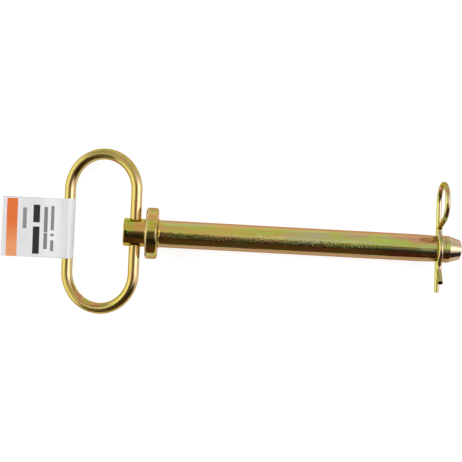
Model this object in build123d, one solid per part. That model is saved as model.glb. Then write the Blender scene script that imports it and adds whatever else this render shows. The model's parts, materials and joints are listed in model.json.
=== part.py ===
from build123d import *
import math
import os

# A 5/8 inch hitch pin with a swivel handle, a hairpin cotter and a folded sales label, in millimetres.
#
# It lies as it comes to rest on a flat surface at Z = 0, on three places: the rim of its collar, the
# shoulder of its tip and the far leg of its handle. +X runs along the pin from its head to its tip, and
# the handle's hinge and the cotter's hole both run along Y. The pin leans a little, because the collar
# is wider than the shank, and the handle hangs down from the head to the surface.
#
# The pin, the handle and the cotter are each drawn in a frame of their own and then laid in place:
#   pin      u along the axis, 0 at the collar's front face, positive towards the tip
#   handle   its hinge on Y, the loop reaching towards -X
#   cotter   s along the straight leg and d upwards, both 0 on the pin's axis

INCH = 25.4
TURN = 360

# ---- pin: one forged and turned piece ----
# a 5/8 inch pin is made to 0.616 inch, so that it slips through a 5/8 inch hole
shank_radius = 0.616 * INCH / 2
shoulder_at = 167.7
shoulder_rounding = 1.0
tip_end_at = (6 + 7 / 8) * INCH
tip_end_radius = 5.65
tip_end_rounding = 0.6
collar_radius = 14.75
collar_thickness = 7.0
collar_front_rounding = 1.8
collar_back_rounding = 1.2
collar_fillet = 1.3
stub_radius = 8.0
stub_length = 12.7
stub_end_rounding = 0.8
stub_fillet = 0.9

# the cross-hole for the handle, and the three small punch marks beside it
hinge_from_stub_end = 6.5
hinge_clearance = 0.1
# each mark's place from the stub's end, and to the side
punch_marks = [(1.35, 0.45), (1.35, -0.95), (2.1, -2.3)]
punch_radius = 0.75
punch_depth = 0.6

# the cotter's hole, and the shallow turned relief round it
cotter_hole_at = (6 + 3 / 8) * INCH
cotter_hole_radius = 3 / 16 * INCH / 2
relief_depth = 0.2
relief_start = 150.0
relief_end = 165.4
relief_start_slope = 8.0
relief_end_slope = 0.3
hole_edge_break = 0.25

# ---- handle: one bent wire whose ends meet inside the head ----
handle_wire_radius = 1 / 4 * INCH / 2
handle_leg_pitch = 41.7
handle_straight = 47.7
handle_end_gap = 1.0
# it lies a little to one side and askew in the clearance of its hole
handle_slide = -0.2
handle_skew = 0.45
wire_end_chamfer = 0.3

# ---- cotter: one bent wire ----
cotter_wire_radius = 1.475
cotter_leg_height = 0.8
cotter_leg_end = -25.4
eye_radius = 10.5
eye_far_side = 36.9
waist_at = 12.0
waist_bend = 2.8
rise_angle = 37.0
fall_angle = 38.0
second_waist_at = -10.2
second_waist_bend = 5.5
tail_end = (-19.6, 10.0)
cotter_touch_gap = 0.05
cotter_end_chamfer = 0.15
cotter_swing = 1.3
cotter_lean = 1.3

# ---- label: one folded strip of printed film, stuck to itself round the handle's far leg ----
film = 0.25
label_width = 35.0
label_reach = 39.2
label_gap = 0.03
label_curl = 5.0
label_crease_radius = 1.2
label_along_leg = 0.3

# ---- places that follow from those sizes ----
hinge_at = -collar_thickness - stub_length + hinge_from_stub_end
stub_end_at = -collar_thickness - stub_length
relief_radius = shank_radius - relief_depth
label_inner_radius = handle_wire_radius + label_gap
label_outer_radius = label_inner_radius + film


def resting_lean():
    """The pin's lean and the height of its axis at the collar's front face, as it rests on two roundings."""
    cone_turn = math.atan2(shank_radius - tip_end_radius, tip_end_at - shoulder_at)
    rear_u = -collar_front_rounding
    rear_r = collar_radius - collar_front_rounding
    front_u = shoulder_at - shoulder_rounding * math.tan(cone_turn / 2)
    front_r = shank_radius - shoulder_rounding
    span = math.hypot(front_u - rear_u, rear_r - front_r)
    lean = math.atan2(rear_r - front_r, front_u - rear_u)
    lean += math.asin((collar_front_rounding - shoulder_rounding) / span)
    height = collar_front_rounding + rear_u * math.sin(lean) + rear_r * math.cos(lean)
    return lean, height


pin_lean, collar_height = resting_lean()
pin_place = Pos(0, 0, collar_height) * Rot(0, math.degrees(pin_lean), 0)
hinge = Vector(hinge_at * math.cos(pin_lean), 0, collar_height - hinge_at * math.sin(pin_lean))
far_leg_height = label_outer_radius
handle_drop = math.asin((hinge.Z - far_leg_height) / handle_leg_pitch)
# a frame at the hinge whose Y is the hinge's axis, and the far leg's place in it
hinge_frame = Pos(hinge) * Rot(0, 0, handle_skew)
far_leg_reach = handle_leg_pitch * math.cos(handle_drop)
far_leg_fall = handle_leg_pitch * math.sin(handle_drop)
cotter_centre = Vector(
    cotter_hole_at * math.cos(pin_lean), 0, collar_height - cotter_hole_at * math.sin(pin_lean)
)


def corner(shape, x, y):
    """The vertex of a flat face that is nearest to a point."""
    return shape.vertices().sort_by_distance((x, y, 0))[0]


def cross_hole(along, radius):
    """A drill through the pin along Y."""
    drill_length = 4 * collar_radius
    return Pos(along, 0, 0) * Rot(90, 0, 0) * Cylinder(radius, drill_length)


def break_hole_edges(solid, along, radius):
    """Chamfers the two mouths of a cross-hole."""
    mouths = []
    for edge in solid.edges():
        box = edge.bounding_box()
        as_wide = abs(box.size.X - 2 * radius) < hole_edge_break
        if as_wide and abs(box.center().X - along) < hole_edge_break:
            mouths.append(edge)
    return chamfer(mouths, hole_edge_break)


def make_pin():
    outline = make_face(
        Polyline(
            (stub_end_at, 0),
            (stub_end_at, stub_radius),
            (-collar_thickness, stub_radius),
            (-collar_thickness, collar_radius),
            (0, collar_radius),
            (0, shank_radius),
            (relief_start, shank_radius),
            (relief_start + relief_start_slope, relief_radius),
            (relief_end - relief_end_slope, relief_radius),
            (relief_end, shank_radius),
            (shoulder_at, shank_radius),
            (tip_end_at, tip_end_radius),
            (tip_end_at, 0),
            close=True,
        )
    )
    outline = fillet(corner(outline, stub_end_at, stub_radius), stub_end_rounding)
    outline = fillet(corner(outline, -collar_thickness, stub_radius), stub_fillet)
    outline = fillet(corner(outline, -collar_thickness, collar_radius), collar_back_rounding)
    outline = fillet(corner(outline, 0, collar_radius), collar_front_rounding)
    outline = fillet(corner(outline, 0, shank_radius), collar_fillet)
    outline = fillet(corner(outline, shoulder_at, shank_radius), shoulder_rounding)
    outline = fillet(corner(outline, tip_end_at, tip_end_radius), tip_end_rounding)
    blank = revolve(outline, Axis.X, TURN)
    blank -= cross_hole(hinge_at, handle_wire_radius + hinge_clearance)
    blank -= cross_hole(cotter_hole_at, cotter_hole_radius)
    blank = break_hole_edges(blank, hinge_at, handle_wire_radius + hinge_clearance)
    blank = break_hole_edges(blank, cotter_hole_at, cotter_hole_radius)
    punch_reach = stub_radius + punch_radius - punch_depth
    for from_end, offset in punch_marks:
        punch_height = math.sqrt(punch_reach**2 - offset**2)
        blank -= Pos(stub_end_at + from_end, offset, punch_height) * Sphere(punch_radius)
    return pin_place * blank


def bent_wire(path, radius, end_chamfer):
    """A round wire along a path, with both cut ends chamfered."""
    section = Plane(origin=path @ 0, z_dir=path % 0) * Circle(radius)
    wire = sweep(section, path=path)
    cut_faces = [wire.faces().sort_by_distance(path @ end)[0] for end in (0, 1)]
    return chamfer([edge for face in cut_faces for edge in face.edges()], end_chamfer)


def make_handle():
    half = handle_straight / 2
    near_leg_start = Line((0, handle_end_gap / 2), (0, half))
    top_bend = CenterArc((-handle_leg_pitch / 2, half), handle_leg_pitch / 2, 0, 180)
    far_leg_line = Line((-handle_leg_pitch, half), (-handle_leg_pitch, -half))
    bottom_bend = CenterArc((-handle_leg_pitch / 2, -half), handle_leg_pitch / 2, 180, 180)
    near_leg_end = Line((0, -half), (0, -handle_end_gap / 2))
    path = Wire([near_leg_start, top_bend, far_leg_line, bottom_bend, near_leg_end])
    loop = bent_wire(path, handle_wire_radius, wire_end_chamfer)
    return hinge_frame * Rot(0, -math.degrees(handle_drop), 0) * Pos(0, handle_slide, 0) * loop


def cotter_path():
    """The cotter's centre line, in the plane of s and d."""
    bump_radius = relief_radius + cotter_wire_radius + cotter_touch_gap
    eye_centre = Vector(eye_far_side - eye_radius, cotter_leg_height + eye_radius)
    rise = math.radians(rise_angle)
    fall = math.radians(fall_angle)
    # the two straight flanks touch the arc over the shank, and meet above it at the crown
    crown_reach = bump_radius / math.cos((rise + fall) / 2)
    crown_angle = math.pi / 2 + (fall - rise) / 2
    crown = Vector(crown_reach * math.cos(crown_angle), crown_reach * math.sin(crown_angle))
    waist = Vector(waist_at, (bump_radius - waist_at * math.sin(rise)) / math.cos(rise))
    second_waist = Vector(
        second_waist_at, (bump_radius + second_waist_at * math.sin(fall)) / math.cos(fall)
    )
    # the wire leaves the eye along the tangent that runs to the waist
    to_eye = eye_centre - waist
    tangent_length = math.sqrt(to_eye.length**2 - eye_radius**2)
    tangent_angle = math.atan2(to_eye.Y, to_eye.X) + math.asin(eye_radius / to_eye.length)
    leave_eye = waist + tangent_length * Vector(math.cos(tangent_angle), math.sin(tangent_angle))
    eye_turn = math.degrees(tangent_angle) + 180
    straight_leg = Line((cotter_leg_end, cotter_leg_height), (eye_centre.X, cotter_leg_height))
    eye = CenterArc((eye_centre.X, eye_centre.Y), eye_radius, -90, eye_turn)
    wavy_leg = FilletPolyline(
        leave_eye,
        waist,
        crown,
        second_waist,
        tail_end,
        radius=(waist_bend, bump_radius, second_waist_bend),
    )
    return Wire([*straight_leg.edges(), *eye.edges(), *wavy_leg.edges()])


def make_cotter():
    # turned so that s runs along +Y and d runs along +Z
    flat = bent_wire(cotter_path(), cotter_wire_radius, cotter_end_chamfer)
    upright = Plane(origin=(0, 0, 0), x_dir=(0, 1, 0), z_dir=(1, 0, 0)).location * flat
    return Pos(cotter_centre) * Rot(0, 0, cotter_swing) * Rot(0, cotter_lean, 0) * upright


def make_label():
    """The strip's section in the plane of X and Z round the far leg, drawn out along Y."""
    curl_radius = label_reach**2 / (2 * label_curl)
    bottom = -label_outer_radius
    curl_centre = (0, bottom + curl_radius)
    curl_turn = math.degrees(label_reach / curl_radius)
    under_side = CenterArc(curl_centre, curl_radius, -90, -curl_turn)
    upper_side = CenterArc(curl_centre, curl_radius - 2 * film, -90, -curl_turn)
    free_end = Line(under_side @ 1, upper_side @ 1)
    root = Line(upper_side @ 0, under_side @ 0)
    tail = make_face([under_side, free_end, upper_side, root])
    section = Circle(label_outer_radius) + tail
    # the crease is where the tail's upper side meets the tube
    crease = [v for v in section.vertices() if -label_outer_radius < v.X < -film and v.Y < 0]
    section = fillet(ShapeList(crease).sort_by(Axis.X)[-1], label_crease_radius)
    section -= Circle(label_inner_radius)
    upright = Plane(origin=(0, 0, 0), x_dir=(1, 0, 0), z_dir=(0, -1, 0)).location
    on_leg = hinge_frame * Pos(-far_leg_reach, label_along_leg, -far_leg_fall) * upright
    return on_leg * extrude(section, label_width / 2, both=True)


pieces = {
    "pin": make_pin(),
    "handle": make_handle(),
    "cotter_clip": make_cotter(),
    "label": make_label(),
}

# the origin is below the middle of the whole object, on the surface that it lies on
boxes = [piece.bounding_box() for piece in pieces.values()]
middle = (min(box.min.X for box in boxes) + max(box.max.X for box in boxes)) / 2
pieces = {name: Pos(-middle, 0, 0) * piece for name, piece in pieces.items()}

os.makedirs("parts", exist_ok=True)
for name, piece in pieces.items():
    export_step(piece, f"parts/{name}.step")
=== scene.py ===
"""A 5/8 inch hitch pin with a swivel handle, a hairpin cotter and a folded sales label.

Every metal piece is steel with zinc plate and a yellow chromate finish, and the label is printed film.
The scene is in metres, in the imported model's own frame: +X runs along the pin from its head to its tip.
The finishes are laid out in millimetres, along each piece's own axes.
"""

import json
import math

import bpy
from mathutils import Matrix, Vector


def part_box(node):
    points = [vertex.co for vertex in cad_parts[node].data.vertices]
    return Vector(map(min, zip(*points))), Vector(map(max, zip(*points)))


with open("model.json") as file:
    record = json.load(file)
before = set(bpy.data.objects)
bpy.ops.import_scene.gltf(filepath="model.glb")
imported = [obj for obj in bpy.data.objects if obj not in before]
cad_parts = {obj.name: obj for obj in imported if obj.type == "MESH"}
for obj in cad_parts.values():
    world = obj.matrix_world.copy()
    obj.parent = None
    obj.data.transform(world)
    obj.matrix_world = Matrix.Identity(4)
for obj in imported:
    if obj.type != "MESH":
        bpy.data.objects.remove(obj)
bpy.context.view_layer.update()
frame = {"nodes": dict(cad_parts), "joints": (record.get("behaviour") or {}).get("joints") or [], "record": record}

MM = 0.001
joints = {joint["name"]: joint for joint in frame["joints"]}
mounts = {mount["name"]: mount for mount in frame["record"]["mounts"]}


# ---------- helpers ----------

# how far a patch's outline wanders, along and across, and how long its waves are
PATCH_WANDER = (14.0, 3.5, 0.0)
PATCH_WAVES = 4.0
# where a patch ends and where it is full, in half sizes from its centre
PATCH_END = 1.3
PATCH_FULL = 0.5


def linear(hex_colour):
    """An sRGB hex colour as linear red, green, blue and alpha."""
    channels = [int(hex_colour[i : i + 2], 16) / 255 for i in (1, 3, 5)]
    return [c / 12.92 if c <= 0.04045 else ((c + 0.055) / 1.055) ** 2.4 for c in channels] + [1.0]


def add(tree, kind, inputs=(), stops=(), **settings):
    """Adds a node with its settings, its ramp's stops, and its inputs in order or by name.

    An input is a value, a socket of another node, or another node, which then gives its one live output.
    """
    made = tree.nodes.new("ShaderNode" + kind)
    for name, value in settings.items():
        setattr(made, name, value)
    for number, (place, hex_colour) in enumerate(stops):
        ramp = made.color_ramp.elements
        stop = ramp[number] if number < len(ramp) else ramp.new(1.0)
        stop.position = place
        stop.color = linear(hex_colour)
    live = [socket for socket in made.inputs if socket.enabled]
    for name, value in inputs.items() if isinstance(inputs, dict) else enumerate(inputs):
        socket = made.inputs[name] if isinstance(name, str) else live[name]
        if isinstance(value, bpy.types.Node):
            value = next(output for output in value.outputs if output.enabled)
        if isinstance(value, bpy.types.NodeSocket):
            tree.links.new(value, socket)
        else:
            socket.default_value = value
    return made


def new_tree(owner):
    """Turns nodes on for a material or a world, and gives back its empty tree."""
    owner.use_nodes = True
    owner.node_tree.nodes.clear()
    return owner.node_tree


def zone(tree, *edges, full=1.0):
    """A mask that is full inside every edge. An edge is a value, where it is 0, and where it is 1."""
    mask = full
    for edge in edges:
        eased = add(tree, "MapRange", edge, interpolation_type="SMOOTHSTEP")
        mask = add(tree, "Math", [mask, eased], operation="MULTIPLY")
    return mask


def tinted(tree, colour, tints):
    """Lays tints over a colour, one after the other. A tint is its hex colour and its mask."""
    for hex_colour, mask in tints:
        colour = add(tree, "Mix", [mask, colour, linear(hex_colour)], data_type="RGBA")
    return colour


def own_place(tree, origin, along, across):
    """Millimetres from a point on a piece: X runs along the piece, Y across it, and Z out of both."""
    x = Vector(along).normalized()
    z = x.cross(Vector(across)).normalized()
    turn = Matrix((x, z.cross(x), z))
    inputs = {
        "Vector": add(tree, "TexCoord").outputs["Object"],
        "Location": turn @ Vector(origin) / -MM,
        "Rotation": turn.to_euler(),
        "Scale": [1 / MM] * 3,
    }
    return add(tree, "Mapping", inputs)


def distance_from(tree, place, centre, half=(1.0, 1.0)):
    """How far a place is from a centre, along and across, in half sizes of a patch or in millimetres."""
    shift = (-centre[0] / half[0], -centre[1] / half[1], 0.0)
    inputs = {"Vector": place, "Location": shift, "Scale": (1 / half[0], 1 / half[1], 0.0)}
    return add(tree, "VectorMath", [add(tree, "Mapping", inputs)], operation="LENGTH").outputs["Value"]


def clouds(tree, place, size, detail=2.0):
    """Soft random blotches, from 0 to 1, of about a size in millimetres along each axis."""
    stretched = add(tree, "Mapping", {"Vector": place, "Scale": [1 / s for s in size]})
    return add(tree, "TexNoise", {"Vector": stretched, "Scale": 1.0, "Detail": detail})


def patches(tree, place, colour, spots):
    """Lays soft oval patches over a colour. A patch is its hex colour, strength, centre and half size."""
    waves = {"Vector": place, "Scale": 1 / PATCH_WAVES, "Detail": 3.0}
    wander = add(tree, "TexNoise", waves).outputs["Color"]
    wander = add(tree, "VectorMath", [wander, (0.5, 0.5, 0.5)], operation="SUBTRACT")
    wander = add(tree, "VectorMath", [wander, PATCH_WANDER], operation="MULTIPLY")
    place = add(tree, "VectorMath", [place, wander], operation="ADD")
    tints = []
    for hex_colour, strength, centre, half in spots:
        far = distance_from(tree, place, centre, half)
        tints.append((hex_colour, add(tree, "MapRange", [far, PATCH_END, PATCH_FULL, 0.0, strength])))
    return tinted(tree, colour, tints)


def chromate(tree, colour, edge_tint, roughness, normal):
    """The metal itself. Its edge tint is the cast of the chromate film seen at a glance."""
    inputs = {
        "Base Color": colour,
        "Metallic": 1.0,
        "Roughness": roughness,
        "Specular Tint": linear(edge_tint),
        "Normal": normal,
    }
    add(tree, "OutputMaterial", [add(tree, "BsdfPrincipled", inputs)])


# ---------- the pin ----------

# places along the pin, from the collar's front face, and across it, from its axis
COLLAR_BACK = -7.0
CONE_START = 167.7
PUNCH_MARKS = [(-18.35, 0.45), (-18.35, -0.95), (-17.6, -2.3)]
# a punch mark's painted shade in its dimple: where it is full, and where it ends
MARK_SHADE_FULL = 0.6
MARK_SHADE_END = 0.8
# the depths of the streaks, the fine lines and the grain
STREAK_DEPTH = 0.03
LINE_DEPTH = 0.05
GRAIN_DEPTH = 0.22

# the film's colours by tone, from thin to thick
SHANK_STOPS = [(0.64, "#C69A60"), (0.71, "#BCA456"), (0.78, "#B2AF50"), (0.85, "#ABB65A"), (0.94, "#B5A878")]
HEAD_STOPS = [(0.74, "#BE904E"), (0.86, "#B39E46"), (0.98, "#AFAE46")]

# the larger patches of the film: colour, strength, centre and half size, along and across
PIN_PATCHES = [
    # on the stub and the collar
    ("#C7905C", 0.75, (-11.3, 2.6), (3.4, 4.2)),
    ("#C99A5C", 0.9, (-3.5, 9.4), (6.0, 2.2)),
    # along the bright side of the shank
    ("#C6C880", 0.6, (82.0, 1.0), (44.0, 1.2)),
    ("#BAB452", 0.6, (14.0, 1.9), (26.0, 1.2)),
    # a painted reflection: the dark band at the head's end of the shank
    ("#6A6030", 0.75, (10.0, 0.0), (24.0, 0.9)),
    ("#C89A5A", 0.4, (20.0, 2.4), (7.0, 1.4)),
    ("#C2B04E", 0.6, (38.0, 4.0), (12.0, 2.2)),
    ("#B3A880", 0.6, (86.0, 2.5), (13.0, 4.0)),
    ("#B79C7C", 0.7, (112.0, 5.0), (10.0, 2.0)),
    ("#AEC248", 0.75, (128.0, 2.8), (13.0, 1.6)),
    ("#C08F72", 0.9, (148.0, 5.6), (16.0, 2.4)),
    ("#A8B860", 0.6, (143.0, 1.2), (16.0, 1.2)),
    # round the cotter's hole and up to the cone
    # a painted reflection: the reddish-brown lower edge
    ("#A8603E", 0.85, (146.0, -4.4), (26.0, 1.3)),
    ("#C8BC8C", 0.5, (158.0, -2.4), (14.0, 1.0)),
    ("#A8AE78", 0.7, (158.0, 1.2), (10.0, 1.4)),
    ("#A89478", 0.8, (166.0, 5.0), (4.0, 2.4)),
    ("#B4804E", 0.7, (155.0, 5.0), (4.0, 1.6)),
    ("#B2C468", 0.8, (165.6, 1.6), (3.4, 1.5)),
    # a painted reflection: the dark reddish lower edge by the cone
    ("#86401E", 0.7, (166.0, -4.4), (4.0, 1.3)),
    # on the low side of the head
    ("#9A8A54", 0.8, (-3.5, -4.4), (5.0, 3.0)),
    ("#A86848", 0.7, (-17.0, -4.6), (3.6, 1.2)),
    ("#8E7C50", 0.7, (-11.5, -2.2), (3.6, 0.9)),
    ("#6E5E38", 0.7, (-12.5, -0.9), (4.6, 0.9)),
    ("#B88E78", 0.7, (-2.6, -13.3), (2.8, 1.1)),
    ("#9FB348", 0.6, (-16.0, 5.6), (3.4, 1.6)),
]

# painted reflection lines near the tip: colour, strength, place across and half width
TIP_REFLECTION_LINES = [
    ("#C8C890", 0.7, -1.1, 0.4),
    ("#5A5230", 0.6, -0.3, 0.12),
    ("#D0CCA0", 0.7, -2.3, 0.35),
    ("#3A1A0A", 0.5, -5.2, 0.2),
]


def pin_clouds(tree, place, along, side, streaks):
    """The film's clouds: drawn out along the shank, deeper on the head, turned round the collar."""
    broad = clouds(tree, place, (26, 5, 5))
    mottle = clouds(tree, place, (6, 2, 2))
    turned = clouds(tree, place, (0.8, 7, 7))
    on_collar = zone(tree, (side, 8.2, 8.6))
    in_head = zone(tree, (along, 2, -2))
    fine = add(tree, "Mix", [on_collar, streaks, turned])
    depth = add(tree, "MapRange", [in_head, 0.0, 1.0, 0.28, 0.5])
    tone = add(tree, "Math", [fine, depth, broad], operation="MULTIPLY_ADD")
    tone = add(tree, "Math", [mottle, 0.3, tone], operation="MULTIPLY_ADD")
    shank = add(tree, "ValToRGB", [tone], SHANK_STOPS)
    head = add(tree, "ValToRGB", [tone], HEAD_STOPS)
    colour = add(tree, "Mix", [in_head, shank, head], data_type="RGBA")
    rim = zone(tree, (side, 11.0, 12.0), (along, COLLAR_BACK - 1.0, COLLAR_BACK - 0.5))
    return tinted(tree, colour, [("#ABA660", rim)])


def pin_wear_and_painted_light(tree, place, along, across, side):
    """The flanks' painted sheen and shade, the cone rubbed pale, the collar edges' painted highlight and shade,
    and the punch marks' painted shade.
    """
    off_collar = (side, 9.0, 8.5)
    past_collar = (along, -1, 1)
    tints = [
        # the upper flank's rosy tan, a painted sheen; then the lower flank, darker with painted shade, and its
        # edge
        ("#BC9870", zone(tree, (across, 5.6, 7.4), (along, 0, 12), off_collar)),
        ("#A58260", zone(tree, (across, -5.3, -6.2), past_collar, off_collar)),
        ("#AE946C", zone(tree, (across, -6.3, -6.9), past_collar, off_collar)),
        # the cone, rubbed pale
        ("#BEA98C", zone(tree, (along, CONE_START - 0.4, CONE_START + 0.4))),
        # the collar's back edge, paler with a painted highlight, and its front edge, darker with painted shade
        # that dulls its highlight
        ("#D6C592", zone(tree, (along, -7.5, -6.9), (along, -5.2, -6.0), full=0.65)),
        ("#8E7E56", zone(tree, (along, -1.9, -1.1), (along, 0, -0.5), (across, -5, -1.5), (across, 7.5, 3))),
    ]
    # the punch marks are darkened with painted shade in their dimples
    for mark in PUNCH_MARKS:
        tints.append(("#2A2410", zone(tree, (distance_from(tree, place, mark), MARK_SHADE_END, MARK_SHADE_FULL))))
    return tints


def shank_grain(tree, place, along, across):
    """The fine grain along the shank's middle: its height, and its light and dark tints, painted glints and
    painted shade where the grain frays the reflection's edge.
    """
    grainy = zone(tree, (along, 2, 5), (along, 140, 110), (across, -3.4, -2.6), (across, 2.4, 0.2))
    noise = clouds(tree, place, (1.0, 0.75, 0.75), 1.0)
    height = add(tree, "Math", [noise, grainy], operation="MULTIPLY")
    # the bright tint is a painted glint and the dark tint painted shade, both kept to the reflection's edge
    speck_glints = zone(tree, (height, 0.50, 0.62), (across, 0.1, -1.0), full=0.5)
    pit_shade = zone(tree, (noise, 0.50, 0.40), (across, 1.6, 0.2), full=0.6)
    pit_shade = add(tree, "Math", [pit_shade, grainy], operation="MULTIPLY")
    return height, [("#BECC86", speck_glints), ("#6E6E3C", pit_shade)]


def tip_reflection_lines(tree, along, across):
    """The tints of the painted reflection lines that run up to the cone."""
    tints = []
    for hex_colour, strength, middle, half in TIP_REFLECTION_LINES:
        off = add(tree, "Math", [across, middle], operation="SUBTRACT")
        off = add(tree, "Math", [off], operation="ABSOLUTE")
        edges = [(off, half + 0.2, half), (along, 112, 138), (along, CONE_START + 0.3, CONE_START - 0.2)]
        tints.append((hex_colour, zone(tree, *edges, full=strength)))
    return tints


def chromate_on_turned_steel():
    """Yellow chromate over zinc on the turned pin.

    To the eye: an olive mirror with long clouds of yellow-green, gold and rosy tan, and a painted rosy
    sheen along its flanks, with painted shade on the lower one. The shank has a fine grain that frays its
    reflections, with painted glints and shade in it, a painted dark reflection band at the head's end and
    drawn-out streaks and painted reflection lines near its tip. The head is smoother and darker, and the
    tip's cone is rubbed paler; the collar's edges carry a painted highlight behind and painted shade in
    front, and the punch marks painted shade.
    """
    material = bpy.data.materials.new("yellow_chromate_zinc_on_turned_steel")
    tree = new_tree(material)
    axis = Vector(mounts["shank"]["axis"])
    middle = Vector(mounts["shank"]["pos_m"])
    face = Vector(mounts["collar_face"]["pos_m"])
    origin = middle + axis * (face - middle).dot(axis)
    place = own_place(tree, origin, axis, (0, 1, 0))
    split = add(tree, "SeparateXYZ", [place])
    along, across = split.outputs["X"], split.outputs["Y"]
    side = add(tree, "Math", [across], operation="ABSOLUTE")

    streaks = clouds(tree, place, (16, 0.8, 0.8))
    grain, grain_glints_and_shade = shank_grain(tree, place, along, across)
    colour = pin_clouds(tree, place, along, side, streaks)
    colour = patches(tree, place, colour, PIN_PATCHES)
    colour = tinted(tree, colour, pin_wear_and_painted_light(tree, place, along, across, side))
    colour = tinted(tree, colour, grain_glints_and_shade + tip_reflection_lines(tree, along, across))

    # the grain is drawn coarser than it is, so that it shows
    lines = clouds(tree, place, (30, 0.55, 0.55), 1.0)
    lined = add(tree, "MapRange", [along, 100.0, 130.0, 0.25, 1.0])
    lines = add(tree, "Math", [lines, lined], operation="MULTIPLY")
    normal = add(tree, "Bump", {"Height": streaks, "Distance": STREAK_DEPTH * MM})
    normal = add(tree, "Bump", {"Height": lines, "Distance": LINE_DEPTH * MM, "Normal": normal})
    normal = add(tree, "Bump", {"Height": grain, "Distance": GRAIN_DEPTH * MM, "Normal": normal})

    # the head is a little smoother than the shank, and the grain and the hole's run-in are duller
    roughness = add(tree, "MapRange", [zone(tree, (along, -2, 2)), 0.0, 1.0, 0.10, 0.13])
    grainy = add(tree, "MapRange", [grain, 0.45, 0.65, 0.0, 0.06])
    roughness = add(tree, "Math", [roughness, grainy], operation="ADD")
    run_in = zone(tree, (along, 148, 153), (along, 167, 163), (across, 2.0, 3.6), full=0.10)
    roughness = add(tree, "Math", [run_in, roughness], operation="ADD")
    chromate(tree, colour, "#DDB6A4", roughness, normal)
    return material


# ---------- the handle and the cotter ----------

# half the length of the handle's straight legs
HANDLE_STRAIGHT = 24.0
# the painted side sheen fades out between these, where the wire bends away from the straight legs' direction
BEND_END = 0.5
BEND_START = 0.2
# how steeply the cotter's tail rises, how far along it the sheared end is, and the height it starts at
TAIL_RISE = math.radians(34)
TAIL_END = 20.5
TAIL_LOWEST = -4.0
# the depths of the drawn lines and the dimples in the wires, and the dimples' size
DRAWN_DEPTH = 0.03
DIMPLE_DEPTH = 0.012
DIMPLE_SIZE = 1.1


def chromate_on_wire(name, place, stops, patch, lines, side_sheen, shine, sheared_end=None):
    """Yellow chromate over zinc on bent wire.

    To the eye: a smooth drawn mirror, with short clouds of olive, gold and rosy tan along it. Its
    straight legs carry painted sheen and shade by the way they face: greener down one side, a painted
    brown shade along the top, and paler and rosier down the other side, where the highlights fall. A
    sheared end, given by its direction, distance and lowest height, is nearly black.
    """
    material = bpy.data.materials.new(name)
    tree = new_tree(material)
    place = place(tree)
    blotches = clouds(tree, place, patch)
    colour = add(tree, "ValToRGB", [blotches], stops)
    facing = add(tree, "SeparateXYZ", [add(tree, "TexCoord").outputs["Normal"]])
    bend = add(tree, "Math", [facing.outputs["Y"]], operation="ABSOLUTE")
    tints = []
    # painted sheen and shade: each side of a straight leg is tinted by which way it faces, as the lights fall on
    # it
    for hex_colour, strength, start, full in side_sheen:
        edges = [(facing.outputs["X"], start, full), (bend, BEND_END, BEND_START)]
        tints.append((hex_colour, zone(tree, *edges, full=strength)))
    if sheared_end:
        direction, distance, lowest = sheared_end
        beyond = add(tree, "VectorMath", [place, direction], operation="DOT_PRODUCT").outputs["Value"]
        height = add(tree, "SeparateXYZ", [place]).outputs["Z"]
        edges = [(beyond, distance - 0.2, distance), (height, lowest - 1, lowest)]
        tints.append(("#1A120A", zone(tree, *edges)))
    colour = tinted(tree, colour, tints)
    normal = add(tree, "Bump", {"Height": clouds(tree, place, lines), "Distance": DRAWN_DEPTH * MM})
    dimples = clouds(tree, place, [DIMPLE_SIZE] * 3)
    normal = add(tree, "Bump", {"Height": dimples, "Distance": DIMPLE_DEPTH * MM, "Normal": normal})
    roughness = add(tree, "MapRange", [blotches, 0.35, 0.65, shine, shine + 0.05])
    chromate(tree, colour, "#C6AE74", roughness, normal)
    return material


def round_the_handle(tree):
    """Millimetres on the handle's loop: X runs out from its middle, so that lines follow the wire."""
    low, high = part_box("handle")
    hinge = Vector(joints["handle_swivel"]["axis"])
    centre = (low + high) / 2
    outwards = centre - Vector(joints["handle_swivel"]["pos_m"])
    outwards -= hinge * outwards.dot(hinge)
    split = add(tree, "SeparateXYZ", [own_place(tree, centre, outwards, hinge)])
    # past the straight legs, the distance is taken from the middle of each end's arc
    past = add(tree, "Math", [split.outputs["Y"]], operation="ABSOLUTE")
    past = add(tree, "Math", [past, HANDLE_STRAIGHT], operation="SUBTRACT")
    past = add(tree, "Math", [past, 0.0], operation="MAXIMUM")
    flat = add(tree, "CombineXYZ", [split.outputs["X"], past, 0.0])
    out = add(tree, "VectorMath", [flat], operation="LENGTH")
    along = add(tree, "Math", [split.outputs["X"], split.outputs["Y"]], operation="ADD")
    return add(tree, "CombineXYZ", [out.outputs["Value"], along, split.outputs["Z"]])


def along_the_cotter(tree):
    """Millimetres on the cotter: Y runs along its straight leg."""
    low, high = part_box("cotter_clip")
    pull = Vector(joints["cotter_pull"]["axis"])
    return own_place(tree, (low + high) / 2, pull.cross((0, 0, 1)), pull)


# ---------- the label ----------

# the print: its colour plain and with its painted sheen, its strength, and its bars as centre and half
# size, along from the free end and across from the middle
PRINT = [
    ("#E9742E", "#F2A06A", 1.0, [((5.8, -0.45), (3.0, 17.1))]),
    ("#5A5A5C", "#5A5A5C", 0.75, [((12.9, 5.2), (1.1, 6.1))]),
    ("#232325", "#232325", 1.0, [((19.6, -7.6), (1.9, 8.0)), ((19.6, 8.0), (1.9, 5.2))]),
    ("#4A4A4C", "#4A4A4C", 0.8, [((25.0, -8.0), (1.05, 4.7)), ((25.0, 4.6), (1.05, 7.5))]),
    ("#5A5A5C", "#5A5A5C", 0.8, [((28.85, -10.6), (0.95, 3.2)), ((28.85, -4.3), (0.95, 0.8))]),
    ("#5A5A5C", "#5A5A5C", 0.8, [((28.85, 5.6), (0.95, 7.2))]),
]
PRINT_TURN = math.radians(0.6)
# across the label, where the print's painted sheen starts and where it is full
PRINT_SHEEN_START = 6.0
PRINT_SHEEN_FULL = -14.0
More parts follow.
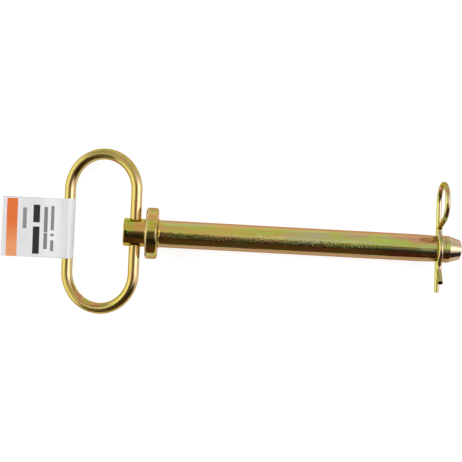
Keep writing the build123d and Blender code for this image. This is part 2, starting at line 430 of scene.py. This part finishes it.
# the cut edges, across from the middle: where their grey starts and where it is full
CUT_EDGE = (17.0, 17.5)
RIPPLE_DEPTH = 0.2
# painted light and shade on the film where it rises to the wire and wraps round it: each band's colour,
# and where it starts, is full, is no longer full and ends, in millimetres from the free end
WRAP_LIGHT_AND_SHADE = [
    ("#FCFCFD", 20.0, 31.0, 34.6, 35.2),
    ("#DADADD", 34.6, 35.2, 38.2, 39.6),
    ("#FDFDFE", 38.4, 39.8, 42.0, 44.0),
]


def printed_film():
    """White polypropylene film, printed on one face.

    To the eye: smooth and a little glossy, cool white, with a flat orange field along its free end
    and lines of dark print, here plain bars. The cut edges show as a fine grey line.
    """
    material = bpy.data.materials.new("printed_polypropylene_film")
    tree = new_tree(material)
    low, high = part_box("label")
    hinge = joints["handle_swivel"]["axis"]
    film = own_place(tree, (low + high) / 2, Vector(hinge).cross((0, 0, 1)), hinge)
    free_end = (high.x - low.x) / 2 / MM
    inputs = {"Vector": film, "Rotation": (0, 0, -PRINT_TURN), "Location": (free_end, 0, 0)}
    printed = add(tree, "SeparateXYZ", [add(tree, "Mapping", inputs)])
    along, across = printed.outputs["X"], printed.outputs["Y"]
    off_middle = add(tree, "Math", [across], operation="ABSOLUTE")
    facing = add(tree, "SeparateXYZ", [add(tree, "TexCoord").outputs["Normal"]])
    printed_face = add(tree, "Math", [facing.outputs["Z"], 0.5], operation="GREATER_THAN")

    colour = add(tree, "ValToRGB", [clouds(tree, film, (12, 18, 12))], [(0.3, "#E7E7E9"), (0.7, "#EEEEEF")])
    tints = []
    # painted light and shade across the wrap: lighter bands on either side of a painted grey shade
    for hex_colour, start, full, ebb, end in WRAP_LIGHT_AND_SHADE:
        tints.append((hex_colour, zone(tree, (along, start, full), (along, end, ebb))))
    tints.append(("#A8A8AA", zone(tree, (off_middle, *CUT_EDGE), full=0.5)))
    colour = tinted(tree, colour, tints)
    # the orange field is painted lighter towards one edge: a painted sheen
    print_sheen = zone(tree, (across, PRINT_SHEEN_START, PRINT_SHEEN_FULL))
    for plain_ink, sheened_ink, strength, bars in PRINT:
        ink = add(tree, "Mix", [print_sheen, linear(plain_ink), linear(sheened_ink)], data_type="RGBA")
        for (middle_along, middle_across), (half_along, half_across) in bars:
            inked = add(tree, "Math", [along, middle_along, half_along], operation="COMPARE")
            within = add(tree, "Math", [across, middle_across, half_across], operation="COMPARE")
            for mask in (within, printed_face, strength):
                inked = add(tree, "Math", [inked, mask], operation="MULTIPLY")
            colour = add(tree, "Mix", [inked, colour, ink], data_type="RGBA")

    ripple = clouds(tree, film, (20, 30, 20), 1.0)
    inputs = {
        "Base Color": colour,
        "Roughness": 0.38,
        "IOR": 1.49,
        "Normal": add(tree, "Bump", {"Height": ripple, "Distance": RIPPLE_DEPTH * MM}),
    }
    add(tree, "OutputMaterial", [add(tree, "BsdfPrincipled", inputs)])
    return material


# ---------- the pieces and the floor ----------

# the floor's size and its front edge, in metres, and how much white it shows besides its own colour
FLOOR_SIZE = 6.0
FLOOR_FRONT = -0.19
FLOOR_GLOW = 0.84


def paint(node_name, material):
    mesh = frame["nodes"][node_name].data
    mesh.materials.clear()
    mesh.materials.append(material)


def dress_pieces():
    """Gives each piece its finish. A side's painted sheen, by which way the wire faces, is its colour, strength,
    and where it starts and is full.
    """
    handle_finish = chromate_on_wire(
        "yellow_chromate_zinc_on_drawn_wire",
        round_the_handle,
        stops=[(0.38, "#BA805A"), (0.46, "#C4A062"), (0.54, "#A2A244"), (0.62, "#C2A86E")],
        patch=(3, 10, 3),
        lines=(0.9, 20, 0.9),
        side_sheen=[("#C6B662", 0.75, -0.10, -0.32), ("#BB8654", 0.5, -0.12, 0.05), ("#C8B086", 0.85, 0.08, 0.30)],
        shine=0.12,
    )
    clip_finish = chromate_on_wire(
        "yellow_chromate_zinc_on_spring_wire",
        along_the_cotter,
        stops=[(0.36, "#C0988A"), (0.45, "#AA885C"), (0.53, "#92A04C"), (0.61, "#B0A274"), (0.68, "#C4B0A0")],
        patch=(2.5, 5, 4),
        lines=(0.8, 12, 0.8),
        side_sheen=[("#CCCA72", 0.8, -0.10, -0.32), ("#C9AD98", 0.7, 0.08, 0.30)],
        shine=0.10,
        sheared_end=((0, -math.cos(TAIL_RISE), math.sin(TAIL_RISE)), TAIL_END, TAIL_LOWEST),
    )
    paint("pin", chromate_on_turned_steel())
    paint("handle", handle_finish)
    paint("cotter_clip", clip_finish)
    paint("label", printed_film())


def make_floor():
    """A plain pale table: white to the camera and in reflections, with the object's soft shadow.

    It ends close in front of the object, whose near flanks mirror the room beyond.
    """
    material = bpy.data.materials.new("pale_table")
    tree = new_tree(material)
    path = add(tree, "LightPath").outputs
    seen = add(tree, "Math", [path["Is Camera Ray"], path["Is Glossy Ray"]], operation="MAXIMUM")
    seen = add(tree, "Math", [seen, path["Is Transmission Ray"]], operation="MAXIMUM")
    glow = add(tree, "Math", [seen, FLOOR_GLOW], operation="MULTIPLY")
    lit = add(tree, "BsdfDiffuse", {"Color": linear("#959595")})
    both = add(tree, "AddShader", [lit, add(tree, "Emission", {"Strength": glow})])
    add(tree, "OutputMaterial", [both])
    bpy.ops.mesh.primitive_plane_add(size=FLOOR_SIZE, location=(0, FLOOR_FRONT + FLOOR_SIZE / 2, 0))
    floor = bpy.context.object
    floor.name = "floor"
    floor.data.materials.append(material)


# ---------- the studio ----------

# how bright the studio is where no light reaches, and the warm room in front
STUDIO_DARK = 0.03
ROOM_GLOW = 0.11
# the soft box on the left: its place in metres, how far it leans over to look at the label, its size
# in metres and its power
SOFT_BOX_PLACE = (-0.585, 0, 0.37)
SOFT_BOX_TURN = math.radians(-52)
SOFT_BOX_SIZE = 0.3
SOFT_BOX_WATTS = 1.24
# the camera: its place in millimetres, its turn, its lens and its sensor's width
CAMERA_PLACE = Vector((0.35, 3.78, 590))
CAMERA_TURN = math.radians(3.12)
CAMERA_LENS = 78.17
CAMERA_SENSOR = 36.0


def make_studio_world():
    """Soft light from the left, the right and behind, and a dim warm room in front.

    Each light is a zone of directions: X runs to the right and Y away from the front.
    """
    world = bpy.data.worlds.new("studio")
    bpy.context.scene.world = world
    tree = new_tree(world)
    place = add(tree, "SeparateXYZ", [add(tree, "TexCoord").outputs["Generated"]])
    x, y = place.outputs["X"], place.outputs["Y"]
    # behind: a broad pale wall, dimmer on the left, with a soft near edge that passes overhead and a
    # darker gap in it
    gap = zone(tree, (x, -0.36, -0.20), (x, 0.0, -0.08), (y, 0.25, 0.05))
    nearer = add(tree, "MapRange", [x, 0.0, 0.25, -0.06, 0.18])
    edge = add(tree, "Math", [nearer, y], operation="ADD")
    wall = add(tree, "MapRange", [x, -0.60, -0.25, 0.58, 0.90])
    wall = zone(tree, (edge, -0.06, 0.24), full=wall)
    in_gap = add(tree, "Math", [gap, -0.5, 1.0], operation="MULTIPLY_ADD")
    wall = add(tree, "Math", [wall, in_gap], operation="MULTIPLY")
    # overhead: the wall's glow, brighter on the right, and a fainter one on the left
    glow = add(tree, "MapRange", [x, 0.03, 0.25, 0.21, 0.32])
    glow = zone(tree, (y, -0.65, 0.05), full=glow)
    left_glow = zone(tree, (x, -0.32, -0.50), (y, -0.90, -0.60), full=0.24)
    # left: a soft box that brightens outwards, and a second one that reaches round to the front
    left = add(tree, "MapRange", [x, -0.20, -0.80, 0.55, 1.70], interpolation_type="SMOOTHSTEP")
    left = zone(tree, (x, -0.15, -0.35), (y, -0.13, -0.05), (y, 0.40, 0.12), full=left)
    low_left = zone(tree, (x, -0.70, -0.84), (y, -0.95, -0.50), full=1.6)
    # right: a soft box, with a brighter lamp in its middle
    right = zone(tree, (x, 0.26, 0.42), (y, -0.45, -0.20), (y, 0.75, 0.40), full=1.4)
    lamp = zone(tree, (x, 0.42, 0.58), (x, 1.0, 0.92), (y, -0.34, 0.06), (y, 0.50, 0.18), full=3.0)
    strength = STUDIO_DARK
    for light in (wall, glow, left_glow, left, low_left, right, lamp):
        strength = add(tree, "Math", [strength, light], operation="MAXIMUM")
    lit = add(tree, "Background", {"Color": linear("#FFFFFF"), "Strength": strength})
    warmth = add(tree, "Math", [zone(tree, (y, -0.60, -0.90)), gap], operation="MAXIMUM")
    warmth = add(tree, "Math", [warmth, ROOM_GLOW], operation="MULTIPLY")
    room = add(tree, "Background", {"Color": linear("#FFB68C"), "Strength": warmth})
    both = add(tree, "AddShader", [lit, room])
    shown = add(tree, "Background", {"Color": linear("#FFFFFF"), "Strength": 1.0})
    seen = add(tree, "LightPath").outputs["Is Camera Ray"]
    add(tree, "OutputWorld", [add(tree, "MixShader", [seen, both, shown])])


def make_label_soft_box():
    """A soft box on the left, aimed at the label. It lights the pale film and isn't mirrored."""
    data = bpy.data.lights.new("label_soft_box", "AREA")
    data.size = SOFT_BOX_SIZE
    data.energy = SOFT_BOX_WATTS
    box = bpy.data.objects.new("label_soft_box", data)
    box.location = SOFT_BOX_PLACE
    box.rotation_euler = (0, SOFT_BOX_TURN, 0)
    box.visible_glossy = False
    bpy.context.scene.collection.objects.link(box)


def make_camera():
    """Looks straight down, turned a little so that the pin slopes across the view."""
    data = bpy.data.cameras.new("camera")
    data.lens = CAMERA_LENS
    data.sensor_width = CAMERA_SENSOR
    camera = bpy.data.objects.new("camera", data)
    camera.location = CAMERA_PLACE * MM
    camera.rotation_euler = (0, 0, CAMERA_TURN)
    bpy.context.scene.collection.objects.link(camera)
    bpy.context.scene.camera = camera


dress_pieces()
make_floor()
make_studio_world()
make_label_soft_box()
make_camera()
bpy.context.scene.view_settings.view_transform = "Standard"
